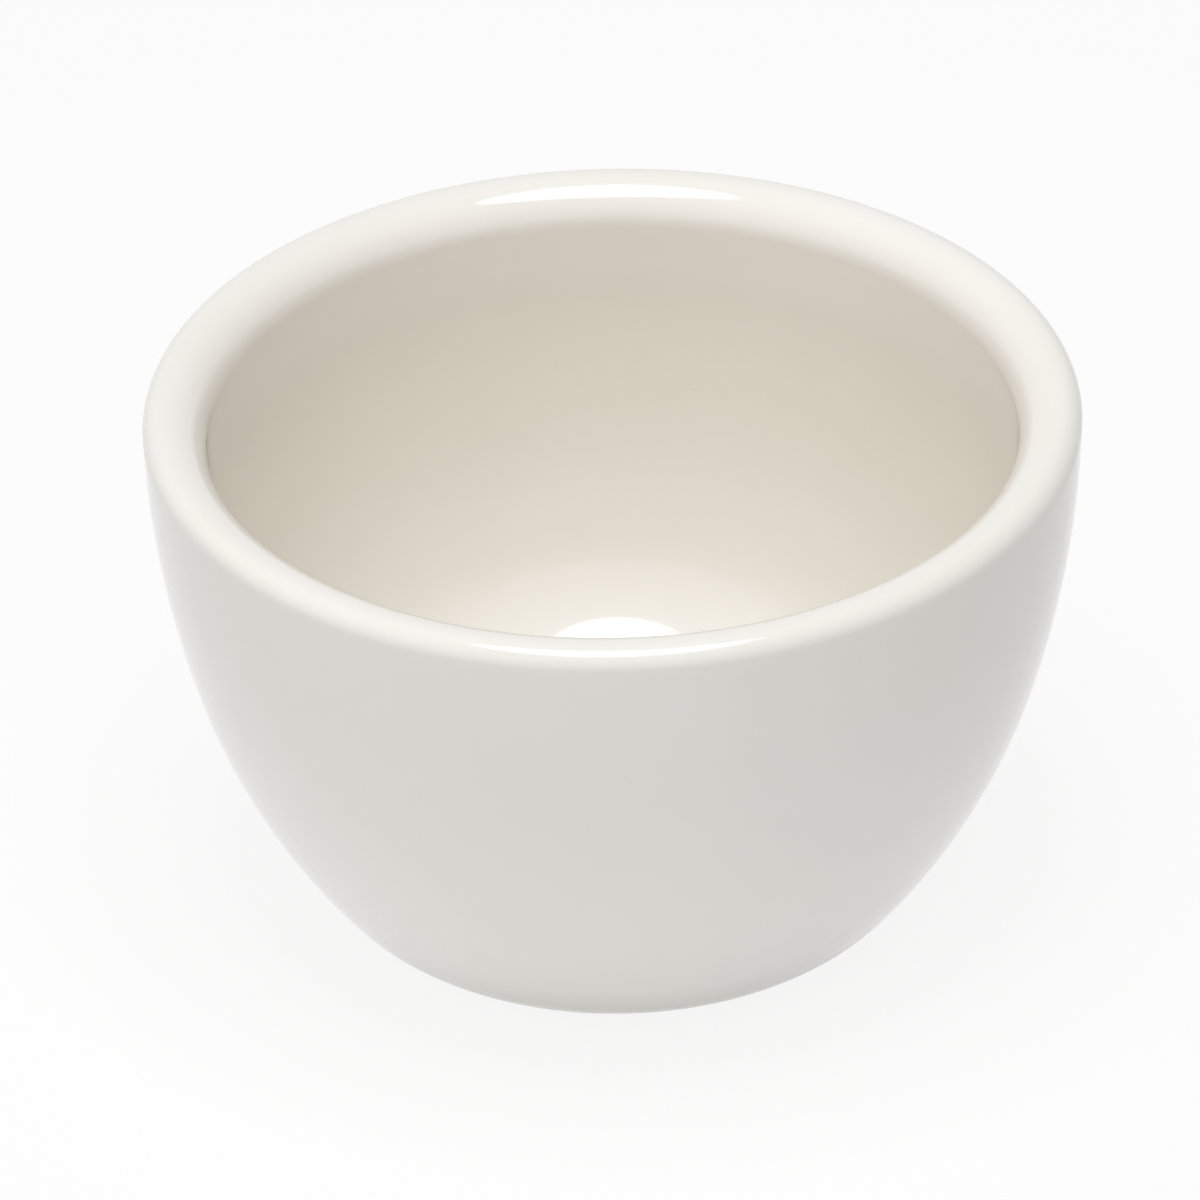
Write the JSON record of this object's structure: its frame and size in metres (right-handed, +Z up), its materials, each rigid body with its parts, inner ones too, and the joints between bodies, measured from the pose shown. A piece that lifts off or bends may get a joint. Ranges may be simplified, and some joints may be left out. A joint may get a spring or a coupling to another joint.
{
  "type": "mortar bowl",
  "caption": "Small thick-walled round mortar bowl in ivory glazed porcelain, with a rounded lip, a dished, round-cornered cavity and a low foot ring.",
  "frame": {"origin": "centre of the circle that the foot ring stands on, in the plane of the table", "axes": "+Z up along the bowl's axis of turning, out of its mouth; X and Y are free, because the bowl is round"},
  "size_m": [0.1, 0.1, 0.0615],
  "materials": {
    "ivory_glaze": "gloss"
  },
  "bodies": {
    "root": {"mortar_bowl": "ivory_glaze"}
  },
  "joints": []
}
